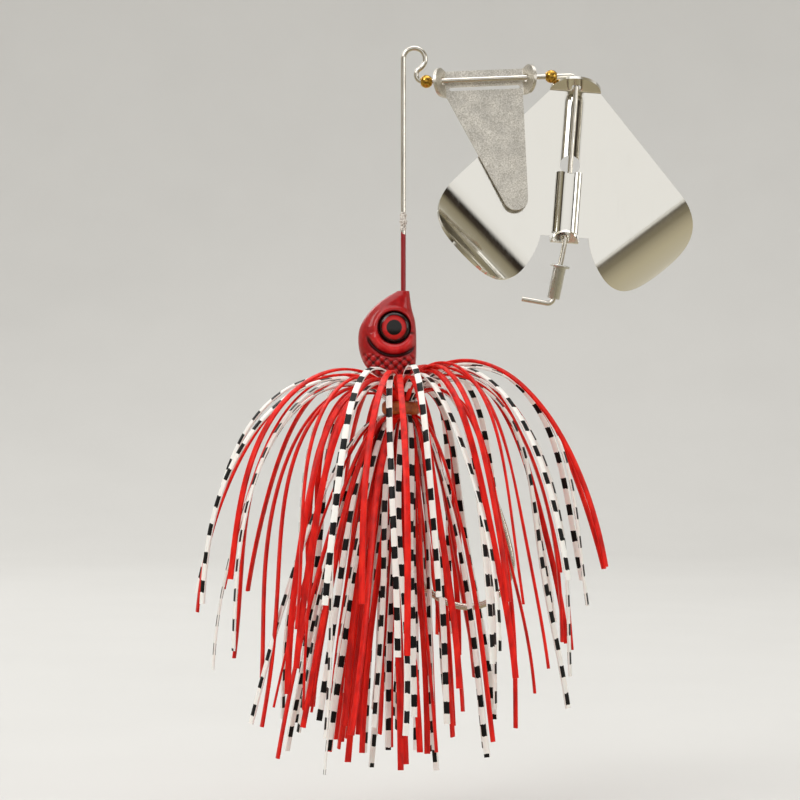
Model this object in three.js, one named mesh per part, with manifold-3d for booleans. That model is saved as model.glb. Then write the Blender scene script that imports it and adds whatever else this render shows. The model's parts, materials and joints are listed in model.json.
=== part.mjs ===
// A buzzbait: a bent wire with a hanging flapper and a spinning two-winged blade above, and a cast
// fish head, a single hook and a silicone skirt below. Millimetres, +Z up. The origin is the inside
// of the top of the line-tie loop, +X runs from the shaft towards the blade, and -Y is the side
// that the flapper hangs on.
import * as THREE from 'three';
import { mergeVertices } from 'three/addons/utils/BufferGeometryUtils.js';
import Module from 'manifold-3d';

const wasm = await Module();
wasm.setup();
const deg = THREE.MathUtils.degToRad;

// Wire form
const wireRadius = 0.45;
const runningGap = 0.3; // between the wire and whatever turns, slides or is cast round it
const shaftX = -1.8;
const tieRadius = 2.0; // centreline of the line-tie loop
const tieFootRadius = 1.25; // centreline of the bend from the loop into the crossbar
const crossbarRise = deg(2.3);
const crossbarDrop = 5.7; // below the origin, at x = 0
const crossbarEndRadius = 1.2;
const bladeArmX = 29.8; // where the crossbar meets the blade arm
const bladeArmTilt = deg(4.3);
const bladeArmLength = 31;
const rivetArmTilt = deg(11.7);
const rivetArmLength = 10.9;
const endHookLength = 5.6;
const endHookRise = deg(10);
const endHookRadius = 1.0;

// Beads
const beadRadius = 1.2;
const frontBeadAt = 2.4; // x of each bead's centre
const rearBeadAt = 25.1;

// Flapper
const flapperSheet = 0.6;
const flapperLeft = 6.0; // x of its edges at the crossbar
const flapperWidth = 13.9;
const flapperAbove = 2.0; // how far the strip stands above the crossbar
const flapperShoulder = 2.8; // where the ears end, below the crossbar
const flapperDrop = 22.1; // from the crossbar to the centre of the round tip
const flapperTipRadius = 2.2;
const flapperTipInset = 2.2; // from the right edge at the crossbar to the tip's centre
const flapperBehind = 1.3; // from the crossbar's axis back to the sheet's middle
const flapperHang = deg(8); // the sheet leans forward so that its weight is under the crossbar
const earSplay = deg(25);
const earRadius = 2.6;
const earCentreOut = 1.9; // along the ear, from the sheet to the centre of its round end
const earCentreDrop = 0.35;
const slotHeight = 0.8;
const slotDrop = 1.3;
const slotInset = 0.5;

// Blade, in its own frame: X across, Y away, Z up along the blade arm, from the arm's top
const bladeSheet = 0.5;
const bladeBehind = 1.5; // from the arm's axis back to the sheet's middle
const bladeTop = 1.2; // from the arm's top down to the root of the upper lip
const wingAngle = deg(41.8); // from the arm's axis
const wingFlat = 27.5; // along the wing, to where its curl starts
const wingTip = 36.4; // along the wing, to its curled tip as seen from the front
const curlRadius = 9.3;
const wingOuter = 3.1; // from the wing's line through the arm's top to its outer edge
const wingInner = 17.4; // and to its inner edge
const notchDepth = 27.6; // from the arm's top down to the notch between the wings
const notchHalf = 4.4;
const upperLipHalf = 4.65;
const upperLipLength = 4.5;
const upperLipRise = deg(22);
const lowerLipHalf = 2.65;
const lowerLipLength = 3.9;
const lowerLipRise = deg(40);
const lowerLipDrop = 28.2;
const bladeHoleRadius = 1.85;
const bladeHoleDrop = 14.5;
const troughHalf = 2.0;
const troughDepth = 0.6;
const strapHalf = 1.95;
const strapHeight = 2.6;
const strapEnd = 25;

// Rivet
const rivetSleeveRadius = 1.15;
const rivetFlangeRadius = 1.8;
const rivetFlange = 0.45;
const rivetLength = 6.2;
const rivetBore = 0.78;
const rivetEndGap = 1.05; // from the arm's lower corner up to the rivet

// Head, its eyes and the skirt keeper. Profiles are [x, z] points.
const headTop = -43.7;
const headBottom = -60.7;
const bellyProfile = [
  [-2.9, headTop], [-4.8, -44.8], [-6.6, -46.1], [-8.3, -47.9], [-9.6, -50.1], [-10.0, -52.2],
  [-9.8, -54.6], [-8.9, -57.0], [-7.2, -58.8], [-5.3, -59.9], [-3.9, headBottom],
];
const backProfile = [
  [-0.7, headTop], [-0.3, -46.7], [0.4, -49.5], [0.6, -53.0], [0.5, -56.5], [0.1, -58.9],
  [-0.5, headBottom],
];
const depthProfile = [
  [1.1, headTop], [2.1, -46.0], [3.0, -49.5], [3.3, -53.0], [3.2, -56.5], [2.6, -59.0],
  [1.7, headBottom],
];
const eyeX = -3.45;
const eyeZ = -50.4;
const eyeRadius = 2.65;
const eyeDome = 0.8;
const socketFloor = 2.3; // from the head's middle plane
const castGap = 0.25; // left round the wire and the hook inside the casting
const keeperX = -2.2;
const keeperRadius = 1.4;
const keeperBottom = -68.2;
const keeperBarb = 1.75;

// Hook
const hookRadius = 0.6;
const hookEyeZ = -56.5;
const hookEyeHole = 0.75;
const hookBend = [
  [keeperX, -91.0], [-1.0, -94.0], [1.0, -96.4], [3.2, -98.5], [6.0, -100.2], [9.2, -101.1],
  [12.3, -100.8], [15.0, -99.3], [16.9, -97.0], [17.8, -94.3], [17.7, -91.4], [16.6, -86.8],
];
const hookPointLength = 5.6;
const hookPointLean = deg(14);
const barbLength = 2.2;

// Skirt
const collarTop = -63.8;
const collarHeight = 2.3;
const collarInner = 2.8;
const collarWall = 0.7;
const strandCount = 24;
const strandWidth = 1.1;
const strandThickness = 0.45;
const strandHalfLength = 62.5;
const strandLayers = [
  { radius: 1.75, width: 0.7, run: 1.0, spread: 8.2 },
  { radius: 2.4, width: 0.9, run: 0.0, spread: 10.8 },
];
const strandSteps = 13; // rings on each half of a strand

// Materials
const metal = (color, roughness) => new THREE.MeshStandardMaterial({ color, roughness, metalness: 1 });
const plain = (color, roughness) => new THREE.MeshStandardMaterial({ color, roughness, metalness: 0 });
const stainless = metal(0xd8d4cc, 0.2);
const tumbledSteel = metal(0xcfc9bd, 0.45);
const mirrorSteel = metal(0xe8e6e0, 0.08);
const brass = metal(0xd9a648, 0.2);
const aluminium = metal(0xd6d6d2, 0.3);
const redPaint = plain(0xb5121b, 0.25);
const eyeRed = plain(0xd01f1f, 0.1);
const amberRubber = plain(0xb4622a, 0.4);
const redSilicone = plain(0xe0190f, 0.5);
const whiteSilicone = plain(0xf2efe8, 0.5);

// A curve whose rings stand exactly at the given points, so that straight runs cost nothing.
class RingCurve extends THREE.Curve {
  constructor(points) {
    super();
    this.points = points;
  }

  getPoint(t) {
    const place = t * (this.points.length - 1);
    const i = Math.min(Math.round(place), this.points.length - 1);
    return this.points[i].clone();
  }

  getPointAt(u) {
    return this.getPoint(u);
  }

  getSpacedPoints(steps) {
    return Array.from({ length: steps + 1 }, (_, i) => this.getPoint(i / steps));
  }

  getTangentAt(u) {
    const last = this.points.length - 1;
    const i = Math.round(u * last);
    const here = this.points[i];
    const back = i > 0 ? here.clone().sub(this.points[i - 1]).normalize() : new THREE.Vector3();
    const on = i < last ? this.points[i + 1].clone().sub(here).normalize() : new THREE.Vector3();
    return back.add(on).normalize();
  }
}

// A point at x, z in the plane y = 0.
function at(x, z, y = 0) {
  return new THREE.Vector3(x, y, z);
}

function circle(radius) {
  return new THREE.Shape().absarc(0, 0, radius, 0, 2 * Math.PI);
}

function sweep(points, section, sides) {
  return new THREE.ExtrudeGeometry(section, {
    extrudePath: new RingCurve(points),
    steps: points.length - 1,
    curveSegments: sides,
    bevelEnabled: false,
  });
}

function tube(points, radius, sides = 10) {
  return sweep(points, circle(radius), sides);
}

// Points on an arc in the plane y = 0, both ends included.
function arc(centre, radius, from, to, steps) {
  return Array.from({ length: steps + 1 }, (_, i) => {
    const angle = from + ((to - from) * i) / steps;
    return at(centre.x + radius * Math.cos(angle), centre.z + radius * Math.sin(angle), centre.y);
  });
}

// The points that round a corner to a radius.
function corner(before, point, after, radius, steps) {
  const back = before.clone().sub(point).normalize();
  const on = after.clone().sub(point).normalize();
  const half = back.angleTo(on) / 2;
  const centre = back.clone().add(on).normalize().multiplyScalar(radius / Math.sin(half)).add(point);
  const start = back.multiplyScalar(radius / Math.tan(half)).add(point).sub(centre);
  const end = on.multiplyScalar(radius / Math.tan(half)).add(point).sub(centre);
  const axis = start.clone().cross(end).normalize();
  const turn = start.angleTo(end);
  return Array.from({ length: steps + 1 }, (_, i) =>
    start.clone().applyAxisAngle(axis, (turn * i) / steps).add(centre));
}

// A polyline with its inner corners rounded.
function rounded(points, radii, steps) {
  const inner = points.slice(1, -1).flatMap((point, i) =>
    corner(points[i], point, points[i + 2], radii[i], steps));
  return [points[0], ...inner, points[points.length - 1]];
}

function manifold(geometry) {
  const bare = geometry.clone();
  bare.deleteAttribute('normal');
  bare.deleteAttribute('uv');
  const merged = mergeVertices(bare, 1e-4);
  return new wasm.Manifold(new wasm.Mesh({
    numProp: 3,
    vertProperties: new Float32Array(merged.attributes.position.array),
    triVerts: new Uint32Array(merged.index.array),
  }));
}

function geometryOf(body) {
  const mesh = body.getMesh();
  const geometry = new THREE.BufferGeometry();
  geometry.setAttribute('position', new THREE.BufferAttribute(mesh.vertProperties, 3));
  geometry.setIndex(new THREE.BufferAttribute(mesh.triVerts, 1));
  geometry.computeVertexNormals();
  return geometry;
}

// A flat outline turned into a plate: its own x and y run along the two given directions from
// origin, and its thickness is centred on that plane.
function plate(shape, thickness, origin, xAxis, yAxis, segments = 8) {
  const geometry = new THREE.ExtrudeGeometry(shape, {
    depth: thickness, bevelEnabled: false, curveSegments: segments,
  });
  geometry.translate(0, 0, -thickness / 2);
  const zAxis = xAxis.clone().cross(yAxis);
  const place = new THREE.Matrix4().makeBasis(xAxis, yAxis, zAxis).setPosition(origin);
  return geometry.applyMatrix4(place);
}

function rod(radius, length, sides = 20) {
  return new THREE.CylinderGeometry(radius, radius, length, sides);
}

// Where things are on the wire
const crossbarZ = (x) => -crossbarDrop + x * Math.tan(crossbarRise);
const crossbarEnd = at(bladeArmX, crossbarZ(bladeArmX));
const armTop = at(29.69, -6.18);
armTop.x = bladeArmX - (crossbarEnd.z - armTop.z) * Math.tan(bladeArmTilt);
const along = (start, tilt, length) =>
  at(start.x - length * Math.sin(tilt), start.z - length * Math.cos(tilt));
const armKnee = along(crossbarEnd, bladeArmTilt, bladeArmLength);
const armFoot = along(armKnee, rivetArmTilt, rivetArmLength);

function tieRing() {
  const centre = at(shaftX + tieRadius, wireRadius - tieRadius);
  // The foot's centre lies on a line one radius above the crossbar, where the two arcs touch.
  const reach = tieRadius + tieFootRadius;
  let foot = at(centre.x, 0);
  for (let i = 0; i < 20; i += 1) {
    foot.z = crossbarZ(foot.x) + tieFootRadius / Math.cos(crossbarRise);
    foot.x = centre.x + Math.sqrt(reach ** 2 - (foot.z - centre.z) ** 2);
  }
  const towardsFoot = Math.atan2(foot.z - centre.z, foot.x - centre.x);
  const loop = arc(centre, tieRadius, Math.PI, towardsFoot, 16);
  const end = 1.5 * Math.PI + crossbarRise;
  const bend = arc(foot, tieFootRadius, towardsFoot + Math.PI, end, 10);
  return [...loop, ...bend.slice(1)];
}

const tailInHead = [
  at(keeperX, hookEyeZ, -1.7),
  at(keeperX, hookEyeZ, 1.4),
  at(keeperX, -54.7, 1.4),
  at(shaftX, -52.9, 0),
  at(shaftX, headTop - 2),
];

function wirePoints() {
  const tail = rounded(tailInHead, [0.8, 0.8, 0.8], 4);
  const end = at(
    armFoot.x - endHookLength * Math.cos(endHookRise),
    armFoot.z + endHookLength * Math.sin(endHookRise),
  );
  const arm = rounded(
    [at(20, crossbarZ(20)), crossbarEnd, armKnee, armFoot, end],
    [crossbarEndRadius, 6, endHookRadius],
    6,
  );
  return [...tail, ...tieRing(), ...arm.slice(1)];
}

function wireForm() {
  return tube(wirePoints(), wireRadius);
}

function bead() {
  const bore = wireRadius + runningGap - 0.05;
  const half = Math.sqrt(beadRadius ** 2 - bore ** 2);
  const start = Math.asin(half / beadRadius);
  const profile = Array.from({ length: 13 }, (_, i) => {
    const angle = -start + (2 * start * i) / 12;
    return new THREE.Vector2(beadRadius * Math.cos(angle), beadRadius * Math.sin(angle));
  });
  profile.push(profile[0].clone());
  return new THREE.LatheGeometry(profile, 20).rotateZ(-Math.PI / 2);
}

// Frame: X along the crossbar from the flapper's left edge, Y away, Z up from the crossbar.
function flapper() {
  const right = flapperWidth;
  const tip = new THREE.Vector2(right - flapperTipInset, -flapperDrop);
  const leftEdge = new THREE.Vector2(tip.x, tip.y + flapperShoulder).angle();
  const outline = new THREE.Shape();
  outline.moveTo(0, flapperAbove);
  outline.lineTo(0, -flapperShoulder);
  outline.absarc(tip.x, tip.y, flapperTipRadius, leftEdge - Math.PI / 2 - 0.1, 0.02, false);
  outline.lineTo(right, -flapperShoulder);
  outline.lineTo(right, flapperAbove);
  outline.closePath();
  const slot = new THREE.Path();
  const low = -slotDrop - slotHeight / 2;
  slot.absarc(slotInset + slotHeight / 2, -slotDrop, slotHeight / 2, 0.5 * Math.PI, 1.5 * Math.PI);
  slot.lineTo(right - slotInset - slotHeight / 2, low);
  slot.absarc(right - slotInset - slotHeight / 2, -slotDrop, slotHeight / 2, -0.5 * Math.PI, 0.5 * Math.PI);
  outline.holes.push(slot);
  const x = new THREE.Vector3(1, 0, 0);
  const up = new THREE.Vector3(0, 0, 1);
  let body = manifold(plate(outline, flapperSheet, at(0, 0, flapperBehind), x, up));

  for (const side of [-1, 1]) {
    const out = new THREE.Vector3(side * Math.sin(earSplay), -Math.cos(earSplay), 0);
    const ear = new THREE.Shape();
    ear.moveTo(-flapperSheet / 2, flapperAbove - 0.1);
    ear.lineTo(-flapperSheet / 2, 0.1 - flapperShoulder);
    ear.absarc(earCentreOut, -earCentreDrop, earRadius, -0.5 * Math.PI, 0.5 * Math.PI);
    ear.closePath();
    const edge = side < 0 ? flapperSheet / 2 : right - flapperSheet / 2;
    body = body.add(manifold(plate(ear, flapperSheet, at(edge, 0, flapperBehind), out, up)));
  }
  const passage = rod(wireRadius + runningGap + 0.05, 4 * right).rotateZ(Math.PI / 2);
  return geometryOf(body.subtract(manifold(passage)));
}

// The flat paddle of one wing, in the blade's X and Z, with a little past the middle line.
function wingOutline() {
  const c = Math.cos(wingAngle);
  const s = Math.sin(wingAngle);
  // along the wing and out from its line, as blade X and Z
  const p = (a, out) => [s * a + c * out, -c * a + s * out];
  const outline = new THREE.Shape();
  outline.moveTo(-bladeSheet, -bladeTop);
  outline.lineTo(upperLipHalf, -bladeTop);
  outline.lineTo(...p(wingFlat, wingOuter));
  outline.bezierCurveTo(...p(33.2, wingOuter + 0.2), ...p(wingTip, -1.8), ...p(wingTip, -8));
  outline.bezierCurveTo(...p(wingTip, -13.5), ...p(34.6, -wingInner), ...p(31, -wingInner));
  outline.quadraticCurveTo(...p(26.5, -wingInner), notchHalf, -notchDepth);
  outline.lineTo(-bladeSheet, -notchDepth);
  outline.closePath();
  return outline;
}

// One wing: the curled sheet seen from its edge, drawn out across the wing, and trimmed to outline.
function wing() {
  const curl = Math.asin((wingTip + 0.4 - wingFlat) / curlRadius);
  const half = bladeSheet / 2;
  const edge = new THREE.Shape();
  edge.moveTo(-8, half);
  edge.lineTo(-8, -half);
  edge.lineTo(wingFlat, -half);
  edge.absarc(wingFlat, curlRadius, curlRadius + half, -Math.PI / 2, curl - Math.PI / 2, false);
  edge.absarc(wingFlat, curlRadius, curlRadius - half, curl - Math.PI / 2, -Math.PI / 2, true);
  edge.closePath();
  const alongWing = new THREE.Vector3(Math.sin(wingAngle), 0, -Math.cos(wingAngle));
  const away = new THREE.Vector3(0, 1, 0);
  const middle = alongWing.clone().cross(away).multiplyScalar((wingOuter - wingInner) / 2);
  const slab = plate(edge, 40, middle, alongWing, away, 9);
  const up = new THREE.Vector3(0, 0, 1);
  const trim = plate(wingOutline(), 30, at(0, 0), new THREE.Vector3(1, 0, 0), up, 10);
  return manifold(slab).intersect(manifold(trim));
}

// A half-round channel pressed out of the sheet, height > 0 towards -Y.
function channel(half, height, top, bottom) {
  const wall = bladeSheet / 2;
  const away = Math.sign(height);
  const tall = Math.abs(height);
  const outline = new THREE.Shape();
  outline.absellipse(0, 0, half + wall, tall + wall, 0, Math.PI);
  outline.absellipse(0, 0, half - wall, tall - wall, Math.PI, 0, true);
  outline.closePath();
  const x = new THREE.Vector3(away, 0, 0);
  const out = new THREE.Vector3(0, -away, 0);
  const origin = at(0, -(top + bottom) / 2);
  return manifold(plate(outline, bottom - top, origin, x, out, 10));
}

function lip(half, length, rise, drop) {
  const tongue = new THREE.Shape();
  tongue.moveTo(-half, -bladeSheet / 2);
  tongue.lineTo(half, -bladeSheet / 2);
  tongue.absellipse(0, 0, half, length, 0, Math.PI);
  tongue.closePath();
  const forward = new THREE.Vector3(0, -Math.cos(rise), Math.sin(rise));
  return manifold(plate(tongue, bladeSheet, at(0, -drop), new THREE.Vector3(1, 0, 0), forward, 12));
}

function block(halfX, top, bottom) {
  return manifold(new THREE.BoxGeometry(2 * halfX, 2, bottom - top).translate(0, 0, -(top + bottom) / 2));
}

function blade() {
  const right = wing();
  const left = wing().rotate([0, 0, 180]);
  const hole = rod(bladeHoleRadius, 4, 24).translate(0, 0, -bladeHoleDrop);
  const holeTop = bladeHoleDrop - bladeHoleRadius + 0.25;
  const holeBottom = bladeHoleDrop + bladeHoleRadius - 0.25;
  const tab = new THREE.BoxGeometry(2 * lowerLipHalf, bladeSheet, lowerLipDrop - notchDepth + 1);
  tab.translate(0, 0, -(lowerLipDrop + notchDepth - 1) / 2);
  const sheet = right.add(left)
    .subtract(block(troughHalf, bladeTop + 0.3, holeTop))
    .subtract(block(strapHalf, holeBottom, strapEnd))
    .subtract(manifold(hole))
    .add(channel(troughHalf, -troughDepth, bladeTop + 0.1, holeTop))
    .add(channel(strapHalf, strapHeight, holeBottom, strapEnd))
    .add(manifold(tab))
    .add(lip(upperLipHalf, upperLipLength, upperLipRise, bladeTop))
    .add(lip(lowerLipHalf, lowerLipLength, lowerLipRise, lowerLipDrop));
  const passage = rod(wireRadius + runningGap + 0.05, 80).rotateX(Math.PI / 2);
  passage.translate(0, -bladeBehind, 0);
  return geometryOf(sheet.subtract(manifold(passage)).translate([0, bladeBehind, 0]));
}

function rivet() {
  const profile = [
    [rivetBore, 0], [rivetSleeveRadius, 0], [rivetSleeveRadius, rivetLength - rivetFlange],
    [rivetFlangeRadius, rivetLength - rivetFlange], [rivetFlangeRadius, rivetLength],
    [rivetBore, rivetLength], [rivetBore, 0],
  ].map(([r, y]) => new THREE.Vector2(r, y));
  return new THREE.LatheGeometry(profile, 20).rotateX(Math.PI / 2);
}

// The value of a profile of [value, z] points at a height.
function profileAt(profile, z) {
  const curve = new THREE.SplineCurve(profile.map(([v, height]) => new THREE.Vector2(v, height)));
  let low = 0;
  let high = 1;
  for (let i = 0; i < 30; i += 1) {
    const middle = (low + high) / 2;
    if (curve.getPoint(middle).y > z) low = middle;
    else high = middle;
  }
  return curve.getPoint(low).x;
}

function headLoft() {
  const loft = new THREE.CylinderGeometry(1, 1, 1, 24, 14);
  const spots = loft.attributes.position;
  for (let i = 0; i < spots.count; i += 1) {
    const z = headBottom + (spots.getY(i) + 0.5) * (headTop - headBottom);
    const belly = profileAt(bellyProfile, z);
    const back = profileAt(backProfile, z);
    const across = spots.getZ(i);
    const side = Math.sign(across) * Math.abs(across) ** 0.8;
    spots.setXYZ(
      i,
      (belly + back) / 2 + ((back - belly) / 2) * spots.getX(i),
      -side * profileAt(depthProfile, z),
      z,
    );
  }
  return loft;
}

function keeper() {
  const rise = headBottom + 1.2;
  const profile = [
    [0, keeperBottom], [keeperRadius, keeperBottom], [keeperBarb, keeperBottom + 0.5],
    [keeperRadius, keeperBottom + 1.1], [keeperRadius, headBottom - 0.4], [1.7, headBottom],
    [1.7, rise], [0, rise],
  ].map(([r, z]) => new THREE.Vector2(r, z));
  return new THREE.LatheGeometry(profile, 20).rotateX(Math.PI / 2).translate(keeperX, 0, 0);
}

function eyePlace(side, depth) {
  return [eyeX, side * depth, eyeZ];
}

function hookParts(grown) {
  const ringRadius = hookEyeHole + hookRadius;
  const ring = new THREE.TorusGeometry(ringRadius, hookRadius + grown, 8, 18).rotateX(Math.PI / 2);
  ring.translate(keeperX, 0, hookEyeZ);
  const bend = new THREE.CatmullRomCurve3(hookBend.map(([x, z]) => at(x, z))).getSpacedPoints(26);
  const shank = tube([at(keeperX, hookEyeZ - ringRadius), ...bend], hookRadius + grown, 10);
  return manifold(ring).add(manifold(shank));
}

function hook() {
  const [endX, endZ] = hookBend[hookBend.length - 1];
  const point = new THREE.CylinderGeometry(0.05, hookRadius, hookPointLength, 10);
  point.rotateX(Math.PI / 2).translate(0, 0, hookPointLength / 2 - 0.1);
  const barb = new THREE.ConeGeometry(0.35, barbLength, 6).rotateX(-Math.PI / 2);
  barb.rotateY(deg(-20)).translate(-hookRadius, 0, hookPointLength / 2 - 0.6);
  const tip = manifold(point).add(manifold(barb));
  const place = tip.rotate([0, -THREE.MathUtils.radToDeg(hookPointLean), 0]).translate([endX, 0, endZ]);
  return geometryOf(hookParts(0).add(place));
}

function head() {
  const wireChannel = tube(
    rounded([...tailInHead.slice(0, -1), at(shaftX, headTop + 2)], [0.8, 0.8, 0.8], 4),
    wireRadius + castGap,
  );
  let body = manifold(headLoft()).add(manifold(keeper()));
  for (const side of [-1, 1]) {
    const socket = rod(eyeRadius + runningGap, 4, 24).translate(...eyePlace(side, socketFloor + 2));
    body = body.subtract(manifold(socket));
  }
  const end = manifold(rod(wireRadius + castGap, 0.6, 10).translate(keeperX, -2, hookEyeZ));
  return geometryOf(body.subtract(manifold(wireChannel)).subtract(end).subtract(hookParts(castGap)));
}

function eye(side) {
  const base = socketFloor + runningGap;
  const profile = Array.from({ length: 7 }, (_, i) => {
    const angle = (Math.PI / 2) * (i / 6);
    return new THREE.Vector2(eyeRadius * Math.cos(angle), 0.3 + (eyeDome - 0.3) * Math.sin(angle));
  });
  profile[6].x = 0;
  const floor = [new THREE.Vector2(0, 0), new THREE.Vector2(eyeRadius, 0)];
  const dome = new THREE.LatheGeometry([...floor, ...profile], 24);
  if (side < 0) dome.rotateX(Math.PI);
  return dome.translate(...eyePlace(side, base));
}

function collar() {
  const low = collarTop - collarHeight;
  const outer = collarInner + collarWall;
  const round = 0.25;
  const profile = [
    [collarInner, low], [outer - round, low], [outer, low + round], [outer, collarTop - round],
    [outer - round, collarTop], [collarInner, collarTop], [collarInner, low],
  ].map(([r, z]) => new THREE.Vector2(r, z));
  return new THREE.LatheGeometry(profile, 24).rotateX(Math.PI / 2).translate(keeperX, 0, 0);
}

// The tails fan out to both sides of the hook, so that its throat stays open.
function tailDirection(azimuth) {
  const turn = Math.atan2(Math.sin(azimuth), Math.cos(azimuth));
  return Math.sign(turn) * (deg(55) + (Math.abs(turn) * 125) / 180);
}

// One strand, in its own radial plane y = 0: the front half's tip, its arch over and into the
// collar, and the tail hanging below. Lengths are those of the flat strand.
function strandPoints(index, azimuth) {
  const layer = strandLayers[index % 2];
  const lift = deg(62 - 8.5 * (1 - Math.cos(azimuth)));
  const fall = deg(84);
  const bendLength = 21 + 1.5 * Math.sin(2.4 * index);
  const step = 0.5;
  const half = strandHalfLength + 2 * Math.sin(1.7 * index);
  const arch = [at(layer.radius, collarTop + layer.run)];
  for (let s = step / 2; s < half - layer.run; s += step) {
    const angle = lift - (lift + fall) * (1 - Math.exp(-((s / bendLength) ** 1.25)));
    const here = arch[arch.length - 1];
    arch.push(at(here.x + step * Math.cos(angle), here.z + step * Math.sin(angle)));
  }
  const drift = tailDirection(azimuth) - azimuth;
  const low = collarTop - collarHeight;
  const tail = Array.from({ length: strandSteps + 1 }, (_, i) => {
    const share = (i / strandSteps) ** 1.3;
    const out = layer.spread * share ** 0.75;
    const drop = (half - 1.5) * share;
    return at(layer.radius + out * Math.cos(drift), low - drop, out * Math.sin(drift));
  });
  const rings = Array.from({ length: strandSteps + 1 }, (_, i) =>
    arch[Math.round((arch.length - 1) * (1 - (i / strandSteps)) ** 1.25)]);
  return [...rings, ...tail];
}

function strand(index, azimuth) {
  const layer = strandLayers[index % 2];
  const section = new THREE.Shape();
  section.moveTo(-strandWidth / 2, -strandThickness / 2);
  section.lineTo(strandWidth / 2, -strandThickness / 2);
  section.lineTo(strandWidth / 2, strandThickness / 2);
  section.lineTo(-strandWidth / 2, strandThickness / 2);
  section.closePath();
  const ribbon = sweep(strandPoints(index, azimuth), section, 1);
  // The collar squeezes the strand narrower.
  const spots = ribbon.attributes.position;
  const middle = collarTop - collarHeight / 2;
  for (let i = 0; i < spots.count; i += 1) {
    const near = Math.max(0, Math.abs(spots.getZ(i) - middle) - collarHeight / 2);
    if (spots.getX(i) > 6) continue;
    const squeeze = (1 - layer.width / strandWidth) * Math.exp(-((near / 2.2) ** 2));
    spots.setY(i, spots.getY(i) * (1 - squeeze));
  }
  return ribbon;
}

const group = new THREE.Group();

function add(parent, name, geometry, material) {
  const mesh = new THREE.Mesh(geometry, material);
  mesh.name = name;
  parent.add(mesh);
  return mesh;
}

function frameAt(place, tilt) {
  const frame = new THREE.Group();
  frame.position.copy(place);
  frame.rotation.y = tilt;
  group.add(frame);
  return frame;
}

add(group, 'wire_form', wireForm(), stainless);
add(group, 'head', head(), redPaint);
add(group, 'eye_left', eye(-1), eyeRed);
add(group, 'eye_right', eye(1), eyeRed);
add(group, 'hook', hook(), stainless);
add(group, 'skirt_collar', collar(), amberRubber);

const crossbar = frameAt(at(flapperLeft, crossbarZ(flapperLeft)), -crossbarRise);
add(crossbar, 'clacker', flapper(), tumbledSteel).rotation.x = -flapperHang;
for (const [name, x] of [['front_bead', frontBeadAt], ['rear_bead', rearBeadAt]]) {
  const place = (x - flapperLeft) / Math.cos(crossbarRise);
  add(crossbar, name, bead(), brass).position.x = place;
}

const bladeArm = frameAt(armTop, bladeArmTilt);
add(bladeArm, 'buzz_blade', blade(), mirrorSteel);

const rivetPlace = along(armFoot, rivetArmTilt, -rivetEndGap);
add(frameAt(rivetPlace, rivetArmTilt), 'rivet', rivet(), aluminium);

const skirt = frameAt(at(keeperX, 0), 0);
for (let i = 0; i < strandCount; i += 1) {
  const azimuth = (2 * Math.PI * (i + 0.5)) / strandCount;
  const barred = i % 5 === 1 || i % 5 === 3;
  const name = `skirt_strand_${String(i + 1).padStart(2, '0')}`;
  add(skirt, name, strand(i, azimuth), barred ? whiteSilicone : redSilicone).rotation.z = azimuth;
}

export default group;
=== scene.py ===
"""The looks of a buzzbait: a bent wire, a flapper, a winged blade, a painted fish head and a silicone skirt.

Sizes are in millimetres, in the frame of the CAD model: X from the shaft to the blade, Z up to the
line tie, and -Y the side that the flapper hangs on. Each piece is turned to metres as it is finished.
"""

import json
import math
import random

import bmesh
import bpy
from mathutils import Matrix, Vector, noise


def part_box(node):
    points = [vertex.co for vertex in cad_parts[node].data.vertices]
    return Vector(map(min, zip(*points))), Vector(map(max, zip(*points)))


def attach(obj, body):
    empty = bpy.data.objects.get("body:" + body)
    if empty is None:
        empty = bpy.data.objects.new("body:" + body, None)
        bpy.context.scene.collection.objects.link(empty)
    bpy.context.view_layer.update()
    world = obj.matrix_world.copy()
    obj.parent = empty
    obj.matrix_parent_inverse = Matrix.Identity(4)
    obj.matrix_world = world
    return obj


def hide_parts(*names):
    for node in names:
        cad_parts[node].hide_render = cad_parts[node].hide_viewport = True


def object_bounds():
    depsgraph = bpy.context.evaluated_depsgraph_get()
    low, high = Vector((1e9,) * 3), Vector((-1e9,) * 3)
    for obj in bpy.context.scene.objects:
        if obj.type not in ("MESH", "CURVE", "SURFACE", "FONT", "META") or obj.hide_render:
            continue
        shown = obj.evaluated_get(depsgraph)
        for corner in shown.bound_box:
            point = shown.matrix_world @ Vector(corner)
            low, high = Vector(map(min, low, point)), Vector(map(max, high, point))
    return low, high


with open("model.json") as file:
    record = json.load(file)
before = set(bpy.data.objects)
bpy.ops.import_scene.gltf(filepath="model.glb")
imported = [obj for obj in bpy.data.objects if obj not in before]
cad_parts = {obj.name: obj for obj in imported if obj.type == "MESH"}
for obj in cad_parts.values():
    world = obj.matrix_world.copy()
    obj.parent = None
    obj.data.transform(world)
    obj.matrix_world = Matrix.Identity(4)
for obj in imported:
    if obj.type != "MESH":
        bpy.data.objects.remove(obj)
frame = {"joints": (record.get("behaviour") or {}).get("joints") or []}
cad_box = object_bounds()
joints = {j["name"]: j for j in frame["joints"]}
MM = 0.001

# ---- Where things are, from the frame ----


def node_box(name):
    """A node's lowest and highest corners, in millimetres."""
    low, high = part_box(name)
    return Vector(low) / MM, Vector(high) / MM


def joint_point(name):
    return Vector(joints[name]["pos_m"]) / MM


def joint_axis(name):
    return Vector(joints[name]["axis"]).normalized()


ACROSS = Vector((0, 1, 0))
UP = Vector((0, 0, 1))
ARM_UP = -joint_axis("blade_spin")
BAR_ALONG = joint_axis("front_bead_spin")
BAR_START = joint_point("clacker_swing")
RIVET_UP = joint_axis("rivet_slide")


def frame_matrix(origin, up):
    """A frame with its Z along up, its Y away from the flapper's side, and its X across."""
    turn = Matrix((ACROSS.cross(up).normalized(), ACROSS, up)).transposed().to_4x4()
    return Matrix.Translation(origin) @ turn


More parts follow.
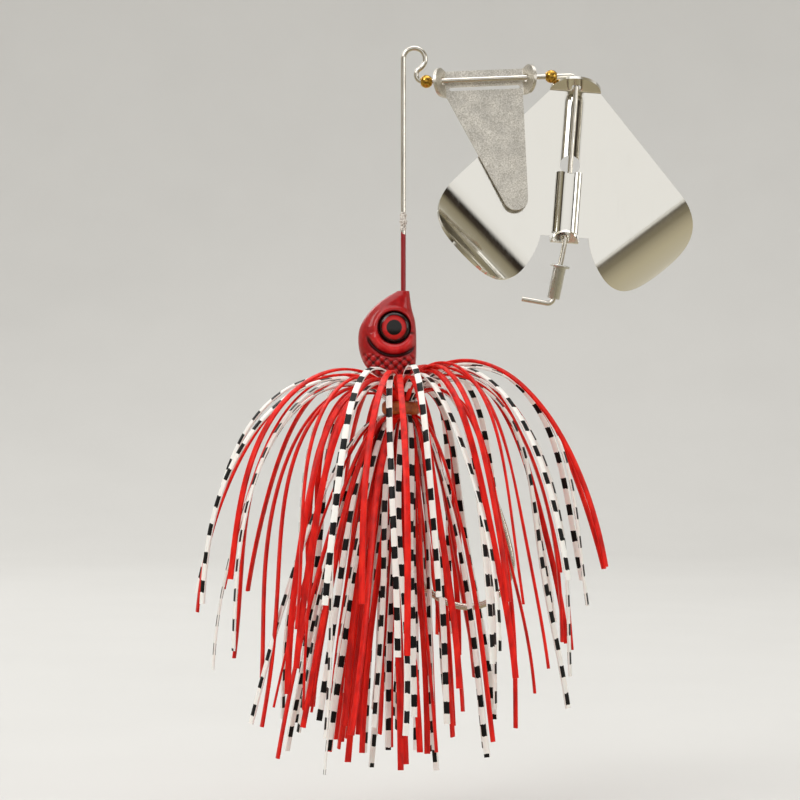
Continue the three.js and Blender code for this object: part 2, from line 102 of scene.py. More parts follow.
# ---- Colours, nodes and materials ----


def srgb(code):
    """A hex colour as the linear numbers that Blender's sockets take."""
    parts = [int(code[i : i + 2], 16) / 255 for i in (0, 2, 4)]
    linear = [p / 12.92 if p <= 0.04045 else ((p + 0.055) / 1.055) ** 2.4 for p in parts]
    return (*linear, 1.0)


def add_node(tree, kind, inputs=None, **settings):
    """Adds a node with its settings. Each input takes a socket to link from, or a plain value."""
    made = tree.nodes.new(kind)
    for key, value in settings.items():
        setattr(made, key, value)
    for key, value in (inputs or {}).items():
        if isinstance(value, bpy.types.NodeSocket):
            tree.links.new(value, made.inputs[key])
        else:
            made.inputs[key].default_value = value
    return made


def new_material(name, **values):
    """A material with one Principled shader, whose plain sockets take the given values."""
    material = bpy.data.materials.new(name)
    material.use_nodes = True
    shader = material.node_tree.nodes["Principled BSDF"]
    for key, value in values.items():
        shader.inputs[key.replace("_", " ")].default_value = value
    return material, material.node_tree, shader


def new_metal(name, colour, roughness):
    return new_material(name, Base_Color=colour, Metallic=1.0, Roughness=roughness)


def object_space(tree, scale=(1, 1, 1), origin=(0, 0, 0)):
    """Coordinates in millimetres on the piece, from a centre and stretched."""
    where = add_node(tree, "ShaderNodeTexCoord").outputs["Object"]
    size = [s / MM for s in scale]
    shift = [-o * s for o, s in zip(origin, scale)]
    inputs = {"Vector": where, "Scale": size, "Location": shift}
    return add_node(tree, "ShaderNodeMapping", inputs).outputs["Vector"]


def speckle(tree, scale, detail, space=None):
    """A noise pattern on the piece, or in a stretched space."""
    if space is None:
        space = object_space(tree)
    inputs = {"Vector": space, "Scale": scale, "Detail": detail}
    return add_node(tree, "ShaderNodeTexNoise", inputs).outputs["Fac"]


def attribute(tree, name):
    return add_node(tree, "ShaderNodeAttribute", attribute_name=name).outputs["Fac"]


def maths(tree, operation, *terms):
    """A Math node over sockets and plain numbers."""
    return add_node(tree, "ShaderNodeMath", dict(enumerate(terms)), operation=operation).outputs[0]


def blend(tree, factor, a, b, kind="MIX"):
    inputs = {"Factor": factor, "A": a, "B": b}
    made = add_node(tree, "ShaderNodeMix", inputs, data_type="RGBA", blend_type=kind)
    return made.outputs["Result"]


def share_of(tree, value, low, high, **settings):
    """How far a value has come from low to high, between 0 and 1."""
    inputs = {"Value": value, "From Min": low, "From Max": high}
    return add_node(tree, "ShaderNodeMapRange", inputs, **settings).outputs["Result"]


def ramp(tree, factor, stops):
    """A colour that runs through (position, colour) stops."""
    made = add_node(tree, "ShaderNodeValToRGB", {"Fac": factor})
    band = made.color_ramp
    for element, (position, colour) in zip(band.elements, (stops[0], stops[-1])):
        element.position = position
        element.color = colour
    for position, colour in stops[1:-1]:
        band.elements.new(position).color = colour
    return made.outputs["Color"]


def grey(value):
    return (value, value, value, 1)


def colour_from(tree, shader, colour):
    tree.links.new(colour, shader.inputs["Base Color"])


def rough_from(tree, shader, height, low, high):
    """Roughness that follows a pattern between two values."""
    inputs = {"Value": height, "From Min": 0.3, "From Max": 0.7, "To Min": low, "To Max": high}
    spread = add_node(tree, "ShaderNodeMapRange", inputs)
    tree.links.new(spread.outputs["Result"], shader.inputs["Roughness"])


def bump_from(tree, shader, height, depth_mm):
    bump = add_node(tree, "ShaderNodeBump", {"Height": height, "Distance": depth_mm * MM})
    tree.links.new(bump.outputs["Normal"], shader.inputs["Normal"])


BARE_WIRE = srgb("DAD5CB")


def drawn_stainless_wire():
    """304 stainless spring wire, drawn bright: fine lines along it and a slight warm tone. The
    lower shaft is in red lacquer up to a ragged line."""
    material, tree, shader = new_metal("drawn_stainless_wire", BARE_WIRE, 0.16)
    lines = speckle(tree, 1.0, 3.0, object_space(tree, scale=(4, 4, 0.25)))
    rough_from(tree, shader, lines, 0.1, 0.26)
    bump_from(tree, shader, lines, 0.015)
    where = add_node(tree, "ShaderNodeSeparateXYZ", {"Vector": object_space(tree)})
    height = maths(tree, "MULTIPLY_ADD", speckle(tree, 1.6, 2.0), 1.6, where.outputs["Z"])
    low = maths(tree, "LESS_THAN", height, PAINT_LINE)
    on_shaft = maths(tree, "LESS_THAN", where.outputs["X"], 2.0)
    painted = maths(tree, "MULTIPLY", low, on_shaft)
    colour_from(tree, shader, ramp(tree, painted, [(0.0, BARE_WIRE), (1.0, srgb("8E1016"))]))
    tree.links.new(maths(tree, "SUBTRACT", 1.0, painted), shader.inputs["Metallic"])
    return material


def tumbled_stainless_sheet():
    """Stainless sheet tumbled in ceramic media: an even satin covered in fine dings."""
    material, tree, shader = new_material("tumbled_stainless_sheet", Metallic=1.0, Roughness=0.38)
    dings = add_node(
        tree,
        "ShaderNodeTexVoronoi",
        {"Vector": object_space(tree), "Scale": 2.6, "Randomness": 1.0},
    )
    grain = speckle(tree, 4.5, 4.0)
    clouds = speckle(tree, 0.35, 3.0)
    tone = ramp(tree, grain, [(0.36, srgb("C6C0B4")), (0.64, srgb("F6F2EA"))])
    wide = ramp(tree, clouds, [(0.35, grey(0.82)), (0.65, grey(1.0))])
    colour_from(tree, shader, blend(tree, 1.0, tone, wide, "MULTIPLY"))
    rough_from(tree, shader, grain, 0.3, 0.5)
    bump_from(tree, shader, maths(tree, "ADD", dings.outputs["Distance"], grain), 0.006)
    return material


def polished_stainless_sheet():
    """Stainless sheet polished to a mirror: faint upright polishing lines and a few soft smears."""
    material, tree, shader = new_metal("polished_stainless_sheet", srgb("ECEAE4"), 0.09)
    lines = speckle(tree, 1.0, 4.0, object_space(tree, scale=(3.0, 3.0, 0.12)))
    smears = speckle(tree, 0.22, 2.0)
    rough_from(tree, shader, maths(tree, "MULTIPLY_ADD", lines, smears, 0.15), 0.05, 0.2)
    bump_from(tree, shader, lines, 0.004)
    return material


def polished_brass():
    """Turned brass beads, polished: warm and mirror-like with faint handling marks."""
    material, tree, shader = new_metal("polished_brass", srgb("C79A3E"), 0.14)
    marks = speckle(tree, 2.5, 3.0)
    tone = ramp(tree, marks, [(0.35, srgb("9C6F24")), (0.6, srgb("D9AE52"))])
    colour_from(tree, shader, tone)
    rough_from(tree, shader, marks, 0.08, 0.25)
    return material


def drawn_aluminium():
    """A drawn aluminium rivet: pale, softly bright, with lines along its sleeve."""
    material, tree, shader = new_metal("drawn_aluminium", srgb("D2D2CE"), 0.28)
    lines = speckle(tree, 1.0, 3.0, object_space(tree, scale=(5, 5, 0.3)))
    rough_from(tree, shader, lines, 0.2, 0.4)
    bump_from(tree, shader, lines, 0.02)
    return material


def candy_red_paint():
    """Candy-red lacquer dipped over cast lead: deep red, thin on the ridges and deep in the grooves, with
    painted shade darkening the grooves and a painted highlight on the ridges, both set from the relief.
    """
    material, tree, shader = new_material(
        "candy_red_paint",
        Roughness=0.34,
        Coat_Weight=0.45,
        Coat_Roughness=0.08,
        Specular_IOR_Level=0.25,
    )
    pores = speckle(tree, 1.3, 4.0)
    # Painted shade and highlight: the relief picks the colour, near black in the grooves and bright red on
    # the ridges.
    tone = ramp(
        tree,
        attribute(tree, "relief"),
        [(0.0, srgb("120102")), (0.38, srgb("4E0407")), (0.60, srgb("A8090F")), (1.0, srgb("DC2022"))],
    )
    shift = ramp(tree, pores, [(0.3, grey(0.72)), (0.7, grey(1.0))])
    colour_from(tree, shader, blend(tree, 1.0, tone, shift, "MULTIPLY"))
    bump_from(tree, shader, pores, 0.05)
    return material


def moulded_eye(side):
    """A moulded epoxy eye: a black pupil in a red iris with a dark rim, under a clear dome."""
    material, tree, shader = new_material(
        f"moulded_eye_{'near' if side < 0 else 'far'}",
        Roughness=0.25,
        Coat_Weight=0.5,
        Coat_Roughness=0.02,
        Specular_IOR_Level=0.2,
    )
    low, high = node_box("eye_left" if side < 0 else "eye_right")
    centre = (low + high) / 2
    space = object_space(tree, scale=(1, 0, 1), origin=(centre.x, 0, centre.z))
    reach = add_node(tree, "ShaderNodeVectorMath", {0: space}, operation="LENGTH").outputs["Value"]
    tone = ramp(
        tree,
        share_of(tree, reach, 0.0, (high.x - low.x) / 2),
        [
            (0.0, srgb("050404")), (0.50, srgb("080505")), (0.56, srgb("C61C1A")),
            (0.78, srgb("A80F12")), (0.86, srgb("2A0404")), (1.0, srgb("140202")),
        ],
    )
    colour_from(tree, shader, tone)
    return material


def nickel_hook_steel():
    """High-carbon hook wire plated in black nickel: bright and slightly smoky."""
    material, tree, shader = new_metal("nickel_hook_steel", srgb("D6CFC2"), 0.14)
    marks = speckle(tree, 1.4, 3.0)
    rough_from(tree, shader, marks, 0.1, 0.26)
    bump_from(tree, shader, marks, 0.01)
    return material


def amber_rubber():
    """A natural-rubber band, amber and half clear, with a dusty bloom."""
    material, tree, shader = new_material(
        "amber_rubber",
        Roughness=0.42,
        Subsurface_Weight=0.5,
        Subsurface_Scale=0.0015,
        Subsurface_Radius=(1.0, 0.4, 0.15),
    )
    bloom = speckle(tree, 0.9, 4.0)
    colour_from(tree, shader, ramp(tree, bloom, [(0.3, srgb("8A3D12")), (0.7, srgb("C97430"))]))
    bump_from(tree, shader, bloom, 0.03)
    return material


def red_silicone():
    """Bright red silicone strand, cut from sheet: soft gloss, a little light through its edges."""
    material, tree, shader = new_material(
        "red_silicone",
        Roughness=0.4,
        Specular_IOR_Level=0.25,
        Subsurface_Weight=0.25,
        Subsurface_Scale=0.0006,
        Subsurface_Radius=(1.0, 0.15, 0.1),
    )
    streaks = speckle(tree, 0.8, 3.0, object_space(tree, scale=(1.2, 1.2, 0.3)))
    reds = [(0.25, srgb("A80A06")), (0.55, srgb("E01507")), (0.8, srgb("F02A14"))]
    colour_from(tree, shader, ramp(tree, streaks, reds))
    bump_from(tree, shader, streaks, 0.02)
    return material


BAR_PITCH = 5.1
BAR_BLACK = 2.1  # along the strand, of each pitch


def barred_silicone():
    """White silicone strand with black bars printed on its two faces; its cut edges stay white."""
    material, tree, shader = new_material(
        "barred_silicone",
        Roughness=0.42,
        Specular_IOR_Level=0.2,
        Subsurface_Weight=0.2,
        Subsurface_Scale=0.0005,
        Subsurface_Radius=(1.0, 0.8, 0.7),
    )
    ragged = speckle(tree, 2.2, 2.0)
    wavy = maths(tree, "MULTIPLY_ADD", ragged, 0.5, attribute(tree, "along"))
    cycle = maths(tree, "FLOORED_MODULO", wavy, BAR_PITCH)
    printed = maths(tree, "LESS_THAN", cycle, BAR_BLACK)
    on_face = maths(tree, "LESS_THAN", attribute(tree, "across"), 0.95)
    ink = maths(tree, "MULTIPLY", printed, on_face)
    colour_from(tree, shader, ramp(tree, ink, [(0.0, srgb("F3F0EA")), (1.0, srgb("0B0A0B"))]))
    bump_from(tree, shader, ragged, 0.02)
    return material


def cured_lacquer_drip():
    """A bead of lacquer and flux left where the dip ended: off-white, rough and half clear."""
    material, tree, shader = new_material("cured_lacquer_drip", Roughness=0.5)
    crust = speckle(tree, 3.0, 4.0)
    colour_from(tree, shader, ramp(tree, crust, [(0.35, srgb("8E7F74")), (0.6, srgb("E8E2DA"))]))
    bump_from(tree, shader, crust, 0.1)
    return material


# ---- Making pieces ----


def finish_piece(bm, name, material, body, replaced=(), smooth_angle=40, bevel=0):
    """Turns a bmesh in millimetres into a piece in metres that rides on a body."""
    bmesh.ops.recalc_face_normals(bm, faces=bm.faces[:])
    bmesh.ops.scale(bm, vec=(MM, MM, MM), verts=bm.verts[:])
    mesh = bpy.data.meshes.new(name)
    for face in bm.faces:
        face.smooth = True
    limit = math.radians(smooth_angle)
    for edge in bm.edges:
        edge.smooth = len(edge.link_faces) != 2 or edge.calc_face_angle(0) < limit
    bm.to_mesh(mesh)
    bm.free()
    piece = bpy.data.objects.new(name, mesh)
    bpy.context.scene.collection.objects.link(piece)
    mesh.materials.append(material)
    if bevel:
        rounding = piece.modifiers.new("worn_edges", "BEVEL")
        rounding.width = bevel * MM
        rounding.segments = 2
        rounding.limit_method = "ANGLE"
        rounding.angle_limit = limit
        flats = piece.modifiers.new("flat_faces", "WEIGHTED_NORMAL")
        flats.keep_sharp = True
    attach(piece, body)
    if replaced:
        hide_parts(*replaced)


def sweep(bm, points, size_at, section, width_of=None):
    """Draws a section along points. size_at gives its two scales at a share of the way, and
    width_of the direction that the section's own x keeps to."""
    count = len(points)
    along_layer = bm.verts.layers.float.new("along")
    across_layer = bm.verts.layers.float.new("across")
    travelled = 0.0
    ring = [bm.verts.new((x, y, 0)) for x, y in section]
    home = [vert.co.copy() for vert in ring]
    rim = [bm.edges.new((ring[i], ring[(i + 1) % len(ring)])) for i in range(len(ring))]
    first = list(rim)
    widest = max(abs(x) for x, y in section)
    side = None
    for i in range(count):
        back = points[i] - points[max(i - 1, 0)]
        on = points[min(i + 1, count - 1)] - points[i]
        tangent = (back.normalized() + on.normalized()).normalized()
        travelled += back.length
        if width_of is not None:
            side = width_of(i, tangent)
        elif side is None:
            side = ACROSS if abs(tangent.dot(ACROSS)) < 0.8 else UP
        side = (side - tangent * side.dot(tangent)).normalized()
        other = tangent.cross(side)
        wide, thick = size_at(i / (count - 1))
        if i > 0:
            made = bmesh.ops.extrude_edge_only(bm, edges=rim)["geom"]
            rim_set = {g for g in made if isinstance(g, bmesh.types.BMEdge)}
            fresh = {g for g in made if isinstance(g, bmesh.types.BMVert)}
            reached = [[e.other_vert(vert) for e in vert.link_edges] for vert in ring]
            ring = [next(vert for vert in near if vert in fresh) for near in reached]
            rim = [e for e in rim_set if e.verts[0] in fresh and e.verts[1] in fresh]
        for vert, place in zip(ring, home):
            vert.co = points[i] + side * (place.x * wide) + other * (place.y * thick)
            vert[along_layer] = travelled
            vert[across_layer] = abs(place.x) / widest
    bmesh.ops.contextual_create(bm, geom=first)
    bmesh.ops.contextual_create(bm, geom=rim)


def oval(x, z, wide, tall, start, end, steps):
    """Points on an oval, as (x, z), both ends included."""
    turns = [start + (end - start) * i / steps for i in range(steps + 1)]
    return [(x + wide * math.cos(a), z + tall * math.sin(a)) for a in turns]


def closed_oval(x, z, wide, tall, steps):
    return oval(x, z, wide, tall, 0, 2 * math.pi, steps)[:-1]


ROUND = closed_oval(0, 0, 1, 1, 20)


def lathe(bm, profile, matrix, steps=64):
    """Spins a closed or axis-to-axis profile of (radius, height) round the matrix's Z."""
    verts = [bm.verts.new((r, 0, z)) for r, z in profile]
    edges = [bm.edges.new(pair) for pair in zip(verts, verts[1:])]
    bmesh.ops.spin(
        bm,
        geom=verts + edges,
        cent=(0, 0, 0),
        axis=(0, 0, 1),
        angle=2 * math.pi,
        steps=steps,
        use_merge=True,
    )
    bmesh.ops.remove_doubles(bm, verts=bm.verts[:], dist=1e-4)
    bmesh.ops.transform(bm, matrix=matrix, verts=bm.verts[:])


def arc(centre, radius, start, end, steps):
    """Points on an arc in the plane y = 0, both ends included."""
    flat = oval(centre.x, centre.z, radius, radius, start, end, steps)
    return [Vector((x, 0, z)) for x, z in flat]


def corner(before, point, after, radius, steps=10):
    """Points that round a corner to a radius."""
    back = (before - point).normalized()
    on = (after - point).normalized()
    half = back.angle(on) / 2
    centre = point + (back + on).normalized() * (radius / math.sin(half))
    start = point + back * (radius / math.tan(half)) - centre
    end = point + on * (radius / math.tan(half)) - centre
    axis = start.cross(end).normalized()
    turn = start.angle(end)
    return [centre + Matrix.Rotation(turn * i / steps, 3, axis) @ start for i in range(steps + 1)]


def spline(points, per_span=8):
    """A Catmull-Rom curve through the points."""
    ends = [points[0] * 2 - points[1], *points, points[-1] * 2 - points[-2]]
    made = []
    for a, b, c, d in zip(ends, ends[1:], ends[2:], ends[3:]):
        for i in range(per_span):
            t = i / per_span
            made.append(
                0.5
                * (2 * b + (c - a) * t + (2 * a - 5 * b + 4 * c - d) * t**2 + (3 * b - a - 3 * c + d) * t**3)
            )
    return [*made, points[-1]]


def even(points, step):
    """The polyline again, with points about a step apart."""
    made = [points[0]]
    for a, b in zip(points, points[1:]):
        parts = max(1, math.ceil((b - a).length / step))
        made += [a.lerp(b, i / parts) for i in range(1, parts + 1)]
    return made


def eased(share):
    share = min(max(share, 0.0), 1.0)
    return share * share * (3 - 2 * share)


# ---- Wire form ----
WIRE_RADIUS = 0.45
SHAFT_X = -1.8
TIE_RADIUS = 2.0
TIE_FOOT_RADIUS = 1.25
ARM_BEND, KNEE_BEND, END_BEND = 1.2, 6.0, 1.0
RISE = math.atan2(BAR_ALONG.z, BAR_ALONG.x)
ARM_CORNER = joint_point("blade_spin")
ARM_LENGTH = 31.0
RIVET_ARM_LENGTH = 10.9
END_HOOK = 5.6 * Vector((-math.cos(math.radians(10)), 0, math.sin(math.radians(10))))
HEAD_TOP = node_box("head")[1].z
TAIL_SUNK = 2  # how far the drawn wire runs down into the casting
KNEE = ARM_CORNER - ARM_UP * ARM_LENGTH
PAINT_LINE = HEAD_TOP + 11.3
DRIP_START, DRIP_STEP, DRIP_RINGS = HEAD_TOP + 11.0, 0.12, 29
DRIP_SEED = 7


def crossbar_z(x):
    return BAR_START.z + (x - BAR_START.x) * math.tan(RISE)


def wire_route():
    centre = Vector((SHAFT_X + TIE_RADIUS, 0, WIRE_RADIUS - TIE_RADIUS))
    foot = centre.copy()
    # The foot touches both the loop and the crossbar; a few rounds settle where.
    for _ in range(20):
        foot.z = crossbar_z(foot.x) + TIE_FOOT_RADIUS / math.cos(RISE)
        foot.x = centre.x + math.sqrt((TIE_RADIUS + TIE_FOOT_RADIUS) ** 2 - (foot.z - centre.z) ** 2)
    towards = math.atan2(foot.z - centre.z, foot.x - centre.x)
    loop = arc(centre, TIE_RADIUS, math.pi, towards, 40)
    bend = arc(foot, TIE_FOOT_RADIUS, towards + math.pi, 1.5 * math.pi + RISE, 24)
    end_corner = KNEE - RIVET_UP * RIVET_ARM_LENGTH
    bar_middle = Vector((20, 0, crossbar_z(20)))
    route = [Vector((SHAFT_X, 0, HEAD_TOP - TAIL_SUNK)), *loop, *bend[1:], bar_middle]
    route += corner(bar_middle, ARM_CORNER, KNEE, ARM_BEND)
    route += corner(ARM_CORNER, KNEE, end_corner, KNEE_BEND, 6)
    route += corner(KNEE, end_corner, end_corner + END_HOOK, END_BEND)
    return [*route, end_corner + END_HOOK]


def make_wire():
    bm = bmesh.new()
    route = even(wire_route(), 2.0)
    sweep(bm, route, lambda share: (WIRE_RADIUS, WIRE_RADIUS), ROUND)
    finish_piece(bm, "wire_form_drawn", drawn_stainless_wire(), "lure", ["wire_form"])

    # The lump of lacquer where the dip ended
    drip = bmesh.new()
    points = [Vector((SHAFT_X, 0, DRIP_START + DRIP_STEP * i)) for i in range(DRIP_RINGS)]

    def lump(share):
        swell = math.sin(math.pi * share) ** 0.6
        wave = 0.11 * math.sin(share * 17) + 0.06 * math.sin(share * 41)
        wide = WIRE_RADIUS + 0.03 + swell * (0.12 + wave * swell)
        return wide, wide

    sweep(drip, points, lump, ROUND)
    # Without a seed this noise starts from the clock.
    noise.seed_set(DRIP_SEED)
    for vert in drip.verts:
        vert.co += 0.10 * noise.noise_vector(vert.co * 1.9) * Vector((1, 1, 0))
    finish_piece(drip, "lacquer_drip", cured_lacquer_drip(), "lure")


# ---- Beads and rivet ----


def make_bead(name, material):
    low, high = node_box(name)
    centre = joint_point(f"{name}_spin")
    radius = (high.z - low.z) / 2
    bore, lip = 0.62, 0.06
    start = math.acos(bore / radius)
    ball = oval(0, 0, radius, radius, -start, start, 24)
    top = ball[-1][1]
    wall = [(bore + lip, top), (bore, top - lip), (bore, lip - top), (bore + lip, -top)]
    profile = [*ball[1:-1], *wall, ball[1]]
    turn = BAR_ALONG.to_track_quat("Z", "Y").to_matrix().to_4x4()
    bm = bmesh.new()
    lathe(bm, profile, Matrix.Translation(centre) @ turn, 48)
    finish_piece(bm, f"{name}_turned", material, name, [name], 50)


def make_rivet():
    sleeve, flange, bore, length, above_corner = 1.15, 1.8, 0.82, 6.2, 1.05
    foot = KNEE - RIVET_UP * (RIVET_ARM_LENGTH - above_corner)
    profile = [
        (bore, 0.1), (bore + 0.06, 0.0), (sleeve - 0.06, 0.0), (sleeve, 0.08),
        (sleeve, length - 0.75), (sleeve + 0.12, length - 0.5), (flange - 0.1, length - 0.42),
        (flange, length - 0.3), (flange, length - 0.16), (flange - 0.12, length - 0.04),
        (bore + 0.35, length), (bore + 0.1, length - 0.08), (bore, length - 0.35), (bore, 0.1),
    ]
    bm = bmesh.new()
    lathe(bm, profile, frame_matrix(foot, RIVET_UP), 48)
    finish_piece(bm, "rivet_drawn", drawn_aluminium(), "rivet", ["rivet"], 50)


# ---- Sheet pieces: a flat pattern, cut across where it bends, bent, then given its thickness ----


def flat_pattern(loops):
    """A face in the plane y = 0 from loops of (x, z), the first its outline and the rest holes."""
    bm = bmesh.new()
    edges = []
    for loop in loops:
        verts = [bm.verts.new((x, 0, z)) for x, z in loop]
        edges += [bm.edges.new((verts[i], verts[(i + 1) % len(verts)])) for i in range(len(verts))]
    bmesh.ops.triangle_fill(bm, use_beauty=True, use_dissolve=False, edges=edges, normal=(0, -1, 0))
    return bm


def cut(bm, point, normal):
    """Cuts every face along a plane."""
    geom = bm.verts[:] + bm.edges[:] + bm.faces[:]
    bmesh.ops.bisect_plane(bm, geom=geom, dist=1e-5, plane_co=point, plane_no=normal)


def cut_rows(bm, heights):
    for z in heights:
        cut(bm, (0, 0, z), UP)


def cut_columns(bm, places):
    for x in places:
        cut(bm, (x, 0, 0), (1, 0, 0))


def thicken(bm, thickness):
    """Gives a sheet its thickness, half on each side."""
    bmesh.ops.recalc_face_normals(bm, faces=bm.faces[:])
    for vert in bm.verts:
        vert.normal_update()
    shift = {vert: vert.normal * (thickness / 2) for vert in bm.verts}
    for vert, move in shift.items():
        vert.co += move
    bmesh.ops.solidify(bm, geom=bm.faces[:], thickness=thickness)
    bmesh.ops.remove_doubles(bm, verts=bm.verts[:], dist=1e-5)


def fold(distance, radius, angle):
    """How far on and how far out a sheet goes when it turns by an angle from a bend line."""
    length = radius * angle
    if distance <= 0:
        return distance, 0.0
    if distance < length:
        turn = distance / radius
        return radius * math.sin(turn), radius * (1 - math.cos(turn))
    rest = distance - length
    on = radius * math.sin(angle) + rest * math.cos(angle)
    return on, radius * (1 - math.cos(angle)) + rest * math.sin(angle)


BLADE_SHEET = 0.5
BLADE_BEHIND = 1.5
ARM_TOP_Z = -6.18
# The blade's own origin, on the arm and moved back to the sheet's middle
BLADE_PLACE = ARM_CORNER - ARM_UP * ((ARM_CORNER.z - ARM_TOP_Z) / ARM_UP.z) + ACROSS * BLADE_BEHIND
BLADE_TOP = 1.2
WING_ANGLE = math.radians(41.8)
WING_FLAT = 27.5
WING_OUTER = 3.1
WING_INNER = 17.4
CURL_RADIUS = 9.3
WING_REACH = 39.4  # along the flat pattern, before the curl
NOTCH_DEPTH = 27.6
NOTCH_HALF = 4.4
UPPER_LIP_HALF, UPPER_LIP_LENGTH, UPPER_LIP_TURN = 4.65, 4.9, math.radians(68)
LOWER_LIP_HALF, LOWER_LIP_LENGTH, LOWER_LIP_TURN = 2.65, 4.1, math.radians(128)
LOWER_LIP_DROP = 28.0
LIP_BEND = 0.6
UPPER_HOLE_OUT, LOWER_HOLE_OUT = 1.75, 2.25  # along each lip, from its root
CURL_CUTS, CURL_STEP = 40, 0.28
CURL_TURN = 3.0  # more than the wing's own length turns through
HOLE_RADIUS = 1.85
HOLE_DROP = 14.5
STRAP_START = 15.9
TROUGH_HALF, TROUGH_DEPTH = 2.1, 0.65
STRAP_HALF, STRAP_HEIGHT, STRAP_END = 2.2, 2.6, 27.0
SLIT = 0.06  # half of the gap where the strap leaves the sheet


def bezier(a, b, c, d, steps=14):
    """A cubic from a to d, without a itself."""
    made = []
    for i in range(1, steps + 1):
        t = i / steps
        made.append(
            tuple(
                (1 - t) ** 3 * p + 3 * (1 - t) ** 2 * t * q + 3 * (1 - t) * t**2 * r + t**3 * s
                for p, q, r, s in zip(a, b, c, d)
            )
        )
    return made


def wing_point(along, out):
    """A place on the right wing as the blade's own x and z."""
    c, s = math.cos(WING_ANGLE), math.sin(WING_ANGLE)
    return (s * along + c * out, -c * along + s * out)


def half_outline():
    """The right half of the blade's flat pattern, from the top of its lip to the foot of its lip."""
    p = wing_point
    lip = oval(0, -BLADE_TOP, UPPER_LIP_HALF, UPPER_LIP_LENGTH, math.pi / 2, 0, 14)
    end = WING_REACH
    points = [*lip, p(WING_FLAT, WING_OUTER)]
    points += bezier(p(WING_FLAT, WING_OUTER), p(34, WING_OUTER + 0.2), p(end, -1.6), p(end, -8))
    points += bezier(p(end, -8), p(end, -13.6), p(35.4, -WING_INNER), p(31, -WING_INNER))
    points += bezier(p(31, -WING_INNER), p(28, -WING_INNER), p(25.0, -16.2), (NOTCH_HALF, -NOTCH_DEPTH), 10)
    foot = oval(0, -LOWER_LIP_DROP, LOWER_LIP_HALF, LOWER_LIP_LENGTH, 0, -math.pi / 2, 10)
    return [*points, (LOWER_LIP_HALF, -NOTCH_DEPTH), *foot]


def blade_bend(co):
    """Where a point of the flat pattern goes when the blade is pressed to shape."""
    x, z = co.x, co.z
    top = z + BLADE_TOP
    if top > 0:
        on, out = fold(top, LIP_BEND, UPPER_LIP_TURN)
        return Vector((x, -out, -BLADE_TOP + on))
    foot = -z - LOWER_LIP_DROP
    if foot > 0 and abs(x) <= LOWER_LIP_HALF + 0.01:
        on, out = fold(foot, LIP_BEND, LOWER_LIP_TURN)
        return Vector((x, -out, -LOWER_LIP_DROP - on))
    side = 1 if x >= 0 else -1
    c, s = math.cos(WING_ANGLE), math.sin(WING_ANGLE)
    along = s * abs(x) - c * z
    if along > WING_FLAT:
        on, out = fold(along - WING_FLAT, CURL_RADIUS, CURL_TURN)
        gone = along - WING_FLAT - on
        return Vector((x - side * s * gone, side * out, z + c * gone))
    y = 0.0
    if abs(x) < TROUGH_HALF and -HOLE_DROP < z:
        y = TROUGH_DEPTH * math.cos(math.pi / 2 * x / TROUGH_HALF) ** 2
    if abs(x) < STRAP_HALF and -STRAP_END <= z < -STRAP_START:
        y = -STRAP_HEIGHT * max(0.0, 1 - abs(x / STRAP_HALF) ** 3.2) ** 0.6
    return Vector((x, y, z))


def make_blade(material):
    half = half_outline()
    outline = half + [(-x, z) for x, z in reversed(half[1:-1])]
    hole = closed_oval(0, -HOLE_DROP, HOLE_RADIUS, HOLE_RADIUS, 40)
    # The lips' holes are long in the flat, because the arm passes through them at a slant.
    upper = closed_oval(0, UPPER_HOLE_OUT - BLADE_TOP, 0.85, 0.935, 24)
    lower = closed_oval(0, -LOWER_LIP_DROP - LOWER_HOLE_OUT, 0.8, 1.04, 24)
    bm = flat_pattern([outline, hole, upper, lower])
    for side in (-1, 1):
        out = Vector((side * math.sin(WING_ANGLE), 0, -math.cos(WING_ANGLE)))
        for i in range(CURL_CUTS):
            cut(bm, out * (WING_FLAT + CURL_STEP * i), out)
    for i in range(7):
        bend = LIP_BEND * i / 6
        upper_row = -BLADE_TOP + bend * UPPER_LIP_TURN
        cut_rows(bm, (upper_row, -LOWER_LIP_DROP - bend * LOWER_LIP_TURN))
    for i in range(21):
        turn = math.pi * i / 20
        cut_columns(bm, (TROUGH_HALF * math.cos(turn), STRAP_HALF * math.cos(turn)))
    cut_rows(bm, [-drop for drop in range(2, math.ceil(STRAP_END))])
    # Cuts close to each change of form keep its shading from spreading over the flat sheet.
    for away in (-0.7, -0.3, 0.3, 0.7):
        cut_rows(bm, (-STRAP_START + away, -STRAP_END + away))
    cut_columns(bm, [side * (STRAP_HALF + away) for side in (-1, 1) for away in (0.15, 0.4, 0.9)])
    for z in (STRAP_START, STRAP_END):
        cut_rows(bm, (-z - SLIT, -z + SLIT))
    bmesh.ops.remove_doubles(bm, verts=bm.verts[:], dist=1e-4)
    doomed = []
    for face in bm.faces:
        centre = face.calc_center_median()
        at_slit = min(abs(centre.z + STRAP_START), abs(centre.z + STRAP_END)) < SLIT
        if abs(centre.x) < STRAP_HALF and at_slit:
            doomed.append(face)
    bmesh.ops.delete(bm, geom=doomed, context="FACES")
    for vert in bm.verts:
        vert.co = blade_bend(vert.co)
    thicken(bm, BLADE_SHEET)
    place = frame_matrix(BLADE_PLACE, ARM_UP)
    bmesh.ops.transform(bm, matrix=place, verts=bm.verts[:])
    finish_piece(
        bm, "buzz_blade_pressed", material, "blade", ["buzz_blade"], 35, 0.07
    )


